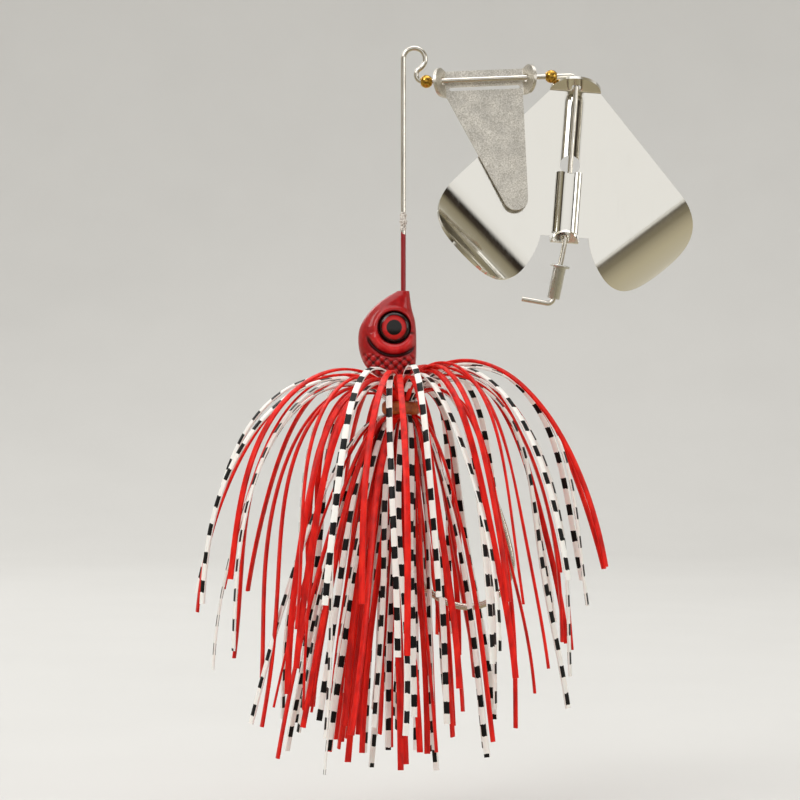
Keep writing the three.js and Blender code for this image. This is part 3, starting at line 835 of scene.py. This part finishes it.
FLAPPER_SHEET = 0.6
FLAPPER_WIDTH = 13.9
FLAPPER_ABOVE = 2.0
FLAPPER_SHOULDER = 2.8
FLAPPER_DROP = 22.1
FLAPPER_TIP_RADIUS = 2.2
FLAPPER_TIP_INSET = 2.2
FLAPPER_BEHIND = 1.3
FLAPPER_HANG = math.radians(8)
EAR_TURN = math.radians(65)
EAR_BEND = 0.5
EAR_RADIUS = 2.6
EAR_OUT = 2.05
EAR_DROP = 0.35
EAR_FOOT = 0.3  # how far the ears' edges run out before they turn round
PASSAGE_OUT, PASSAGE_WIDE, PASSAGE_TALL = 1.45, 0.825, 0.75
SLOT_DROP, SLOT_HALF, SLOT_INSET = 1.3, 0.4, 0.5


def make_flapper(material):
    right = FLAPPER_WIDTH
    tip = Vector((right - FLAPPER_TIP_INSET, 0, -FLAPPER_DROP))
    lean = math.atan2(FLAPPER_DROP - FLAPPER_SHOULDER, tip.x)
    ear = oval(EAR_OUT, -EAR_DROP, EAR_RADIUS, EAR_RADIUS, math.pi / 2, -math.pi / 2, 24)
    start = math.pi + (math.pi / 2 - lean) - 0.16
    outline = [
        (0, FLAPPER_ABOVE),
        (-EAR_FOOT, FLAPPER_ABOVE),
        *[(-x, z) for x, z in ear],
        (-EAR_FOOT, -FLAPPER_SHOULDER),
        (0, -FLAPPER_SHOULDER),
        *oval(tip.x, tip.z, FLAPPER_TIP_RADIUS, FLAPPER_TIP_RADIUS, start, 2 * math.pi, 20),
        (right, -FLAPPER_SHOULDER),
        (right + EAR_FOOT, -FLAPPER_SHOULDER),
        *[(right + x, z) for x, z in reversed(ear)],
        (right + EAR_FOOT, FLAPPER_ABOVE),
        (right, FLAPPER_ABOVE),
    ]
    slot = []
    end = SLOT_INSET + SLOT_HALF
    for centre, begin in ((end, math.pi / 2), (right - end, -math.pi / 2)):
        slot += oval(centre, -SLOT_DROP, SLOT_HALF, SLOT_HALF, begin, begin + math.pi, 10)
    holes = [
        closed_oval(x, 0, PASSAGE_WIDE, PASSAGE_TALL, 24) for x in (-PASSAGE_OUT, right + PASSAGE_OUT)
    ]
    bm = flat_pattern([outline, slot, *holes])
    for i in range(7):
        reach = EAR_BEND * EAR_TURN * i / 6
        cut_columns(bm, (-reach, right + reach))
    for vert in bm.verts:
        beyond = max(-vert.co.x, vert.co.x - right)
        if beyond > 0:
            side = -1 if vert.co.x < 0 else 1
            on, out = fold(beyond, EAR_BEND, EAR_TURN)
            vert.co.x = (0 if side < 0 else right) + side * on
            vert.co.y = -out
    thicken(bm, FLAPPER_SHEET)
    bmesh.ops.translate(bm, vec=(0, FLAPPER_BEHIND, 0), verts=bm.verts[:])
    hang = Matrix.Rotation(-FLAPPER_HANG, 4, "X")
    place = frame_matrix(BAR_START, BAR_ALONG.cross(ACROSS)) @ hang
    bmesh.ops.transform(bm, matrix=place, verts=bm.verts[:])
    finish_piece(
        bm, "clacker_pressed", material, "flapper", ["clacker"], 35, 0.12
    )


# ---- Head, eyes, hook and collar ----
HEAD_BOTTOM = HEAD_TOP - 17.0
HEAD_HEIGHT = HEAD_TOP - HEAD_BOTTOM
CAST_TONE = 0.62  # the relief value of plain paint


def down_the_head(profile):
    """A smooth curve through (value, distance below the head's top) pairs."""
    return spline([Vector((value, 0, drop)) for value, drop in profile], 12)


BELLY = down_the_head([
    (-2.9, 0), (-4.8, 1.1), (-6.6, 2.4), (-8.3, 4.2), (-9.6, 6.4), (-10.0, 8.5), (-9.8, 10.9),
    (-8.9, 13.3), (-7.2, 15.1), (-5.3, 16.2), (-3.9, 17.0),
])
BACK = down_the_head([
    (-0.7, 0), (-0.3, 3.0), (0.4, 5.8), (0.6, 9.3), (0.5, 12.8), (0.1, 15.2), (-0.5, 17.0),
])
DEPTH = down_the_head([
    (1.1, 0), (2.1, 2.3), (3.0, 5.8), (3.3, 9.3), (3.2, 12.8), (2.6, 15.3), (1.7, 17.0),
])
EYE_CENTRE = (node_box("eye_left")[0] + node_box("eye_left")[1]) / 2
SOCKET_RADIUS = 3.0
GILL_Z, GILL_START = -51.4, -0.9
SCALES_TOP, SCALES_LOW, SCALE_PITCH = -54.8, -60.9, 1.6
KEEPER_X = (node_box("skirt_collar")[0].x + node_box("skirt_collar")[1].x) / 2
COLLAR_TOP = node_box("skirt_collar")[1].z
COLLAR_LOW = node_box("skirt_collar")[0].z


def profile_at(curve, drop):
    """A curve's value at a distance below the head's top."""
    for a, b in zip(curve, curve[1:]):
        if b.z >= drop:
            share = (drop - a.z) / max(b.z - a.z, 1e-9)
            return a.x + (b.x - a.x) * min(max(share, 0), 1)
    return curve[-1].x


def ring_relief(reach, radius, width):
    """1 at a radius, fading over a width."""
    return math.exp(-(((reach - radius) / width) ** 2))


def head_relief(x, z):
    """How far the casting's side stands out at a place, in millimetres."""
    ex, ez = EYE_CENTRE.x, EYE_CENTRE.z
    reach = math.hypot(x - ex, z - ez)
    out = -0.75 * (1 - eased((reach - SOCKET_RADIUS + 0.25) / 0.4))
    out += 0.14 * ring_relief(reach, SOCKET_RADIUS + 0.5, 0.35)
    angle = math.atan2(z - ez, x - ex)
    # The cheek: a raised crescent under the eye with a groove below it.
    below = eased((math.cos(angle + math.pi / 2) - 0.2) / 0.3)
    out += 0.42 * below * ring_relief(reach, 4.0, 0.55)
    out -= 0.55 * below * ring_relief(reach, 5.1, 0.3)
    # Gill-cover edge at the back, as a short groove
    out -= 0.5 * ring_relief(z, GILL_Z, 0.28) * eased((x - GILL_START) / 0.8)
    # Scales below the cheek: overlapping round bumps in diagonal rows
    zone = eased((reach - 5.5) / 0.5)
    zone *= eased((SCALES_TOP - z) / 0.8) * eased((z - SCALES_LOW) / 0.8)
    u, v = (x + z) / SCALE_PITCH, (x - z) / SCALE_PITCH
    cell = Vector((u - math.floor(u) - 0.5, v - math.floor(v) - 0.5))
    bump = max(0.0, 1 - (cell.length / 0.52) ** 2)
    out += zone * (0.5 * bump**0.6 - 0.24)
    # Low facets and hammering on the snout
    out += 0.06 * noise.noise(Vector((x, z, 3.0)) * 0.8)
    return out


def make_head():
    rows, sides = 150, 160
    bm = bmesh.new()
    relief = bm.verts.layers.float.new("relief")
    bmesh.ops.create_cone(
        bm, cap_ends=True, cap_tris=False, segments=sides, radius1=1, radius2=1, depth=1
    )
    for i in range(1, rows):
        cut(bm, (0, 0, -0.5 + i / rows), (0, 0, 1))
    for vert in bm.verts:
        drop = (0.5 - vert.co.z) * HEAD_HEIGHT
        z = HEAD_TOP - drop
        belly = profile_at(BELLY, drop)
        back = profile_at(BACK, drop)
        cx, cy = vert.co.x, vert.co.y
        x = (belly + back) / 2 + (back - belly) / 2 * math.copysign(abs(cx) ** 0.95, cx)
        flank = profile_at(DEPTH, drop)
        y = math.copysign(abs(cy) ** 0.8, cy) * flank
        facing = eased((abs(cy) - 0.25) / 0.4)
        ends = eased(drop / 1.2) * eased((HEAD_HEIGHT - drop) / 0.8)
        out = head_relief(x, z) * facing * ends
        y += out * math.copysign(1, cy) * (abs(cy) > 0.05)
        vert.co = Vector((x, y, z))
        # The relief also sets the paint's colour, for painted shade in the grooves and a painted highlight
        # on the ridges.
        vert[relief] = min(max(CAST_TONE + out * 0.9, 0), 1)
    keeper_low = COLLAR_LOW - 2.1
    profile = [
        (0, keeper_low), (1.2, keeper_low), (1.4, keeper_low + 0.15), (1.75, keeper_low + 0.5),
        (1.4, keeper_low + 1.1), (1.4, HEAD_BOTTOM - 0.4), (1.65, HEAD_BOTTOM), (1.5, HEAD_BOTTOM + 0.8),
        (0, HEAD_BOTTOM + 0.8),
    ]
    keeper = bmesh.new()
    lathe(keeper, profile, Matrix.Translation((KEEPER_X, 0, 0)), 40)
    level = keeper.verts.layers.float.new("relief")
    for vert in keeper.verts:
        vert[level] = CAST_TONE
    finish_piece(keeper, "skirt_keeper", PAINT, "lure")
    finish_piece(bm, "head_cast", PAINT, "lure", ["head"], 75)


def make_eye(side):
    name = "eye_left" if side < 0 else "eye_right"
    low, high = node_box(name)
    radius = (high.x - low.x) / 2
    tall = high.y - low.y
    profile = [(0, 0), (radius - 0.05, 0), (radius, 0.05)]
    steps = 18
    for i in range(1, steps + 1):
        a = math.pi / 2 * i / steps
        profile.append((radius * math.cos(a) if i < steps else 0, 0.15 + (tall - 0.15) * math.sin(a)))
    base = low.y if side > 0 else high.y
    centre = Vector(((low.x + high.x) / 2, base, (low.z + high.z) / 2))
    turn = Matrix.Rotation(-side * math.pi / 2, 4, "X")
    bm = bmesh.new()
    lathe(bm, profile, Matrix.Translation(centre) @ turn, 64)
    finish_piece(bm, f"{name}_domed", moulded_eye(side), "lure", [name], 50)


HOOK_RADIUS = 0.6
POINT_LEAN, POINT_STEP = math.radians(14), 0.56
HOOK_BEND = [
    (-2.2, -91.0), (-1.0, -94.0), (1.0, -96.4), (3.2, -98.5), (6.0, -100.2), (9.2, -101.1),
    (12.3, -100.8), (15.0, -99.3), (16.9, -97.0), (17.8, -94.3), (17.7, -91.4), (16.6, -86.8),
]


def make_hook():
    bend = spline([Vector((x, 0, z)) for x, z in HOOK_BEND], 6)
    inward = Vector((-math.sin(POINT_LEAN), 0, math.cos(POINT_LEAN)))
    point = [bend[-1] + inward * (POINT_STEP * i) for i in range(1, 11)]
    shank = even([Vector((KEEPER_X, 0, HEAD_BOTTOM + 1)), bend[0]], 3.0)
    route = shank + bend[1:] + point
    count = len(route)

    def taper(share):
        left = (1 - share) * (count - 1) / 10
        size = HOOK_RADIUS * (0.05 + 0.95 * min(1.0, left) ** 0.8)
        return size, size

    bm = bmesh.new()
    sweep(bm, route, taper, ROUND)
    barb = bmesh.new()
    tip = bend[-1] + inward * 2.6
    back = (-inward + Vector((-0.42, 0, 0))).normalized()
    side = Vector((-math.cos(POINT_LEAN), 0, -math.sin(POINT_LEAN)))
    points = [tip + side * 0.15, tip + side * 0.3 + back * 0.9, tip + side * 0.35 + back * 2.0]
    sweep(barb, points, lambda s: (0.28 * (1 - 0.9 * s), 0.34 * (1 - 0.85 * s)), closed_oval(0, 0, 1, 1, 10))
    steel = nickel_hook_steel()
    finish_piece(barb, "hook_barb", steel, "lure")
    finish_piece(bm, "hook_forged", steel, "lure", ["hook"])


def make_collar():
    low, high = node_box("skirt_collar")
    outer = (high.x - low.x) / 2
    inner = outer - 0.7
    middle = (low.z + high.z) / 2
    half = (high.z - low.z) / 2
    steps = 10
    profile = [(inner, middle - half + 0.2), (inner + 0.2, middle - half)]
    for i in range(steps + 1):
        share = i / steps * 2 - 1
        bulge = 0.14 * (1 - share**2)
        edge = 0.22 * max(0, abs(share) - 0.7) / 0.3
        profile.append((outer - 0.14 + bulge - edge, middle + share * half * 0.97))
    profile += [(inner + 0.2, middle + half), (inner, middle + half - 0.2)]
    profile.append(profile[0])
    bm = bmesh.new()
    lathe(bm, profile, Matrix.Translation((KEEPER_X, 0, 0)), 72)
    for vert in bm.verts:
        vert.co.z += 0.12 * math.sin(3 * math.atan2(vert.co.y, vert.co.x - KEEPER_X))
    finish_piece(bm, "collar_band", amber_rubber(), "lure", ["skirt_collar"], 50)


# ---- Skirt: each strand is one ribbon, held at its middle by the collar ----
STRAND_WIDTH = 1.1
STRAND_THICKNESS = 0.45
STRAND_HALF = 62.5
STRAND_STEP = 0.9
CAD_STRANDS = 24
EXTRA_STRANDS = 38
EXTRA_FRONT = 12
CAD_SEED, EXTRA_SEED = 100, 300
FRONT_FALL = math.radians(84)  # how steeply a front hangs in the end
LAYERS = [
    {"radius": 1.75, "width": 0.7, "run": 1.0, "spread": 8.2},
    {"radius": 2.4, "width": 0.9, "run": 0.0, "spread": 10.8},
]
RIBBON = [
    (-1.0, 0.0), (-0.94, -0.8), (-0.8, -1.0), (0.8, -1.0), (0.94, -0.8),
    (1.0, 0.0), (0.94, 0.8), (0.8, 1.0), (-0.8, 1.0), (-0.94, 0.8),
]


def tail_direction(azimuth, wild):
    """Where a tail leans: to either side of the hook, never along its throat."""
    turn = math.atan2(math.sin(azimuth), math.cos(azimuth))
    least = 38 if wild else 55
    return math.copysign(math.radians(least) + abs(turn) * (180 - least) / 180, turn)


def strand_route(rng, azimuth, layer, lift, bend, half, spread, wild):
    """A strand's points from the tip of its front half to the tip of its tail."""
    sway = rng.uniform(-2.6, 2.6) * (1 + 0.9 * wild)
    swing = rng.uniform(0, 6.28)
    outward = Vector((math.cos(azimuth), math.sin(azimuth), 0))
    sideways = Vector((-math.sin(azimuth), math.cos(azimuth), 0))
    place = Vector((layer["radius"], COLLAR_TOP + layer["run"]))
    flat = [place.copy()]
    s = STRAND_STEP / 2
    while s < half + EXTRA_FRONT * wild - layer["run"]:
        ease = 1 - math.exp(-((s / bend) ** 1.25))
        ripple = 0.09 * math.sin(s / 11 + swing)
        angle = lift - (lift + FRONT_FALL) * ease + ripple * ease
        place = place + STRAND_STEP * Vector((math.cos(angle), math.sin(angle)))
        flat.append(place.copy())
        s += STRAND_STEP
    axis = Vector((KEEPER_X, 0, 0))
    front = []
    for i, (r, z) in enumerate(flat):
        share = i / (len(flat) - 1)
        aside = sway * eased(share) * 1.6 + 0.35 * math.sin(6 * share + swing) * eased(share * 3)
        front.append(axis + outward * r + sideways * aside + UP * z)
    direction = tail_direction(azimuth, wild)
    lean = Vector((math.cos(direction), math.sin(direction), 0))
    tail = []
    steps = round((half - 1.5) / STRAND_STEP)
    root = axis + outward * layer["radius"] + UP * COLLAR_LOW
    cross = Vector((-lean.y, lean.x, 0))
    for i in range(steps + 1):
        share = i / steps
        aside = 0.5 * math.sin(5 * share + swing) * eased(share * 2) + sway * eased(share) * 0.6
        out = spread * share ** (0.55 if wild else 0.75)
        tail.append(root + lean * out + cross * aside - UP * ((half - 1.5) * share))
    return front[::-1] + [root.lerp(front[0], 0.5)] + tail, len(front)


def make_strand(number, seed, route, white, replaced):
    """One strand. Its route is what strand_route takes after the random source."""
    rng = random.Random(seed)
    points, front_count = strand_route(rng, *route)
    azimuth, layer = route[:2]
    twist_front = rng.uniform(-0.9, 0.9)
    twist_tail = rng.uniform(-1.2, 1.2)
    sideways = Vector((-math.sin(azimuth), math.cos(azimuth), 0))
    count = len(points)
    shift = rng.uniform(0, BAR_PITCH)

    def width_direction(i, tangent):
        if i < front_count:
            turn = twist_front * eased((front_count - i) / front_count * 1.4)
        else:
            turn = twist_tail * eased((i - front_count) / (count - front_count) * 1.4)
        return Matrix.Rotation(turn, 3, tangent) @ sideways

    squeezed = layer["width"] / STRAND_WIDTH

    def size(share):
        i = share * (count - 1)
        away = max(0.0, abs(i - front_count) * STRAND_STEP - 1.5)
        pinch = 1 - (1 - squeezed) * math.exp(-((away / 2.2) ** 2))
        return STRAND_WIDTH / 2 * pinch, STRAND_THICKNESS / 2

    bm = bmesh.new()
    sweep(bm, points, size, RIBBON, width_direction)
    along = bm.verts.layers.float["along"]
    for vert in bm.verts:
        vert[along] += shift
    finish_piece(bm, f"strand_{number:02d}", SILICONE[white], "lure", replaced, 80)


def front_lift(degrees, azimuth):
    """The angle at which a front leaves the collar, lower toward the back of the head."""
    return math.radians(degrees - 8.5 * (1 - math.cos(azimuth)))


def make_skirt():
    for i in range(CAD_STRANDS):
        azimuth = 2 * math.pi * (i + 0.5) / CAD_STRANDS
        layer = LAYERS[i % 2]
        bend = 21 + 1.5 * math.sin(2.4 * i)
        half = STRAND_HALF + 2 * math.sin(1.7 * i)
        route = (azimuth, layer, front_lift(62, azimuth), bend, half, layer["spread"], 0)
        make_strand(i + 1, CAD_SEED + i, route, i % 5 in (1, 3), [f"skirt_strand_{i + 1:02d}"])
    # The rest of the real skirt: fronts that fall close in, and tails that fan out on either side
    rng = random.Random(11)
    for i in range(EXTRA_STRANDS):
        azimuth = 2 * math.pi * (i + 0.25 + rng.uniform(-0.2, 0.2)) / EXTRA_STRANDS
        layer = dict(LAYERS[(i + 1) % 2])
        layer["run"] += 0.5
        reach = rng.uniform(0.0, 1.0)
        half = STRAND_HALF + rng.uniform(-9, 2.5)
        spread = rng.uniform(10, 27)
        lift = front_lift(40 + 18 * reach, azimuth)
        route = (azimuth, layer, lift, 8 + 12 * reach, half, spread, 1)
        make_strand(CAD_STRANDS + i + 1, EXTRA_SEED + i, route, i % 5 in (0, 2), [])


# ---- The studio ----
FLOOR_REACH = 2.5
COVE_START, COVE_RADIUS, COVE_HEIGHT = 0.7, 0.5, 2.6
CEILING = 1.7
HANG_HEIGHT = 0.014  # from the card up to the lowest tip
CAMERA_DROP = 0.0590  # below the blade's joint
CAMERA_X, CAMERA_BACK = -0.0024, 0.404


def make_studio():
    """A pale card that lies under the object and curves up behind it, with soft lights round it."""
    scene = bpy.context.scene
    scene.view_settings.view_transform = "Standard"
    low, high = cad_box
    floor_z = low[2] - HANG_HEIGHT
    bm = bmesh.new()
    centre = Vector((-FLOOR_REACH, COVE_START, floor_z + COVE_RADIUS))
    profile = [Vector((-FLOOR_REACH, -FLOOR_REACH, floor_z))]
    for i in range(25):
        turn = math.pi / 2 * i / 24
        profile.append(centre + COVE_RADIUS * Vector((0, math.sin(turn), -math.cos(turn))))
    profile.append(profile[-1] + UP * COVE_HEIGHT)
    verts = [bm.verts.new(place) for place in profile]
    edges = [bm.edges.new(pair) for pair in zip(verts, verts[1:])]
    made = bmesh.ops.extrude_edge_only(bm, edges=edges)["geom"]
    far = [part for part in made if isinstance(part, bmesh.types.BMVert)]
    bmesh.ops.translate(bm, vec=(2 * FLOOR_REACH, 0, 0), verts=far)
    mesh = bpy.data.meshes.new("floor")
    bm.to_mesh(mesh)
    bm.free()
    mesh.shade_smooth()
    floor = bpy.data.objects.new("floor", mesh)
    scene.collection.objects.link(floor)
    card, tree, shader = new_material("matt_card", Roughness=0.9)
    tone = ramp(tree, speckle(tree, 0.02, 2.0), [(0.3, srgb("D0CFCC")), (0.7, srgb("D2D1CE"))])
    # Painted reflection: to glossy rays only, the near part of the card shows dark and tan, as dark as the
    # room beyond it, while the camera and diffuse light see it pale.
    place = add_node(tree, "ShaderNodeSeparateXYZ", {"Vector": object_space(tree)})
    painted_reflection_tone = ramp(
        tree,
        share_of(tree, place.outputs["Y"], -1200.0, 400.0),
        [(0.0, srgb("D8D6D0")), (0.35, srgb("4A4234")), (0.60, srgb("6A624C")), (0.72, srgb("A39B82")),
         (1.0, srgb("C9C6BE"))],
    )
    rays = add_node(tree, "ShaderNodeLightPath")
    colour_from(tree, shader, blend(tree, rays.outputs["Is Glossy Ray"], tone, painted_reflection_tone))
    mesh.materials.append(card)

    world = bpy.data.worlds.new("studio")
    scene.world = world
    world.use_nodes = True
    tree = world.node_tree
    back = tree.nodes["Background"]
    # What the metal mirrors: a white wall on the near side, a dark gap round it, then tan walls.
    where = add_node(tree, "ShaderNodeTexCoord")
    parts = add_node(tree, "ShaderNodeSeparateXYZ", {"Vector": where.outputs["Generated"]})
    walls = ramp(
        tree,
        share_of(tree, parts.outputs["Y"], -1.0, 1.0),
        [
            (0.0, srgb("F6F5F2")), (0.055, srgb("E9E7E2")), (0.10, srgb("2A2520")),
            (0.17, srgb("3A3128")), (0.26, srgb("8F8770")), (0.42, srgb("A39C88")),
            (0.60, srgb("D9D7D1")), (1.0, srgb("E6E5E1")),
        ],
    )
    overhead = share_of(tree, parts.outputs["Z"], 0.72, 0.82, interpolation_type="SMOOTHSTEP")
    room = blend(tree, overhead, walls, grey(CEILING))
    # Seen straight, the room is the same pale grey as the card.
    rays = add_node(tree, "ShaderNodeLightPath")
    seen = blend(tree, rays.outputs["Is Camera Ray"], room, srgb("CDCCC9"))
    tree.links.new(seen, back.inputs["Color"])

    centre = (Vector(low) + Vector(high)) / 2
    lamps = [
        ("key_softbox", (-0.75, -0.75, 0.75), 0.6, 5.5),
        ("fill_softbox", (0.95, -0.6, 0.25), 0.5, 2),
        ("top_softbox", (0.1, 0.25, 1.1), 0.8, 3),
        ("back_softbox", (-0.4, 0.6, 0.5), 0.4, 1.2),
    ]
    for name, offset, size, power in lamps:
        data = bpy.data.lights.new(name, "AREA")
        data.size = size
        data.energy = power
        lamp = bpy.data.objects.new(name, data)
        scene.collection.objects.link(lamp)
        lamp.location = centre + Vector(offset)
        lamp.rotation_euler = (-Vector(offset)).to_track_quat("-Z", "Y").to_euler()


def make_camera():
    """A long lens level with the object's middle, square to the side the flapper hangs on."""
    data = bpy.data.cameras.new("camera")
    data.lens, data.sensor_width = 100, 36
    data.clip_start, data.clip_end = 0.01, 20
    camera = bpy.data.objects.new("camera", data)
    bpy.context.scene.collection.objects.link(camera)
    camera.location = (CAMERA_X, -CAMERA_BACK, ARM_CORNER.z * MM - CAMERA_DROP)
    camera.rotation_euler = (math.pi / 2, 0, 0)
    bpy.context.scene.camera = camera


make_camera()
make_studio()
PAINT = candy_red_paint()
SILICONE = {False: red_silicone(), True: barred_silicone()}
make_wire()
brass_finish = polished_brass()
make_bead("front_bead", brass_finish)
make_bead("rear_bead", brass_finish)
make_rivet()
make_blade(polished_stainless_sheet())
make_flapper(tumbled_stainless_sheet())
make_head()
make_eye(-1)
make_eye(1)
make_hook()
make_collar()
make_skirt()
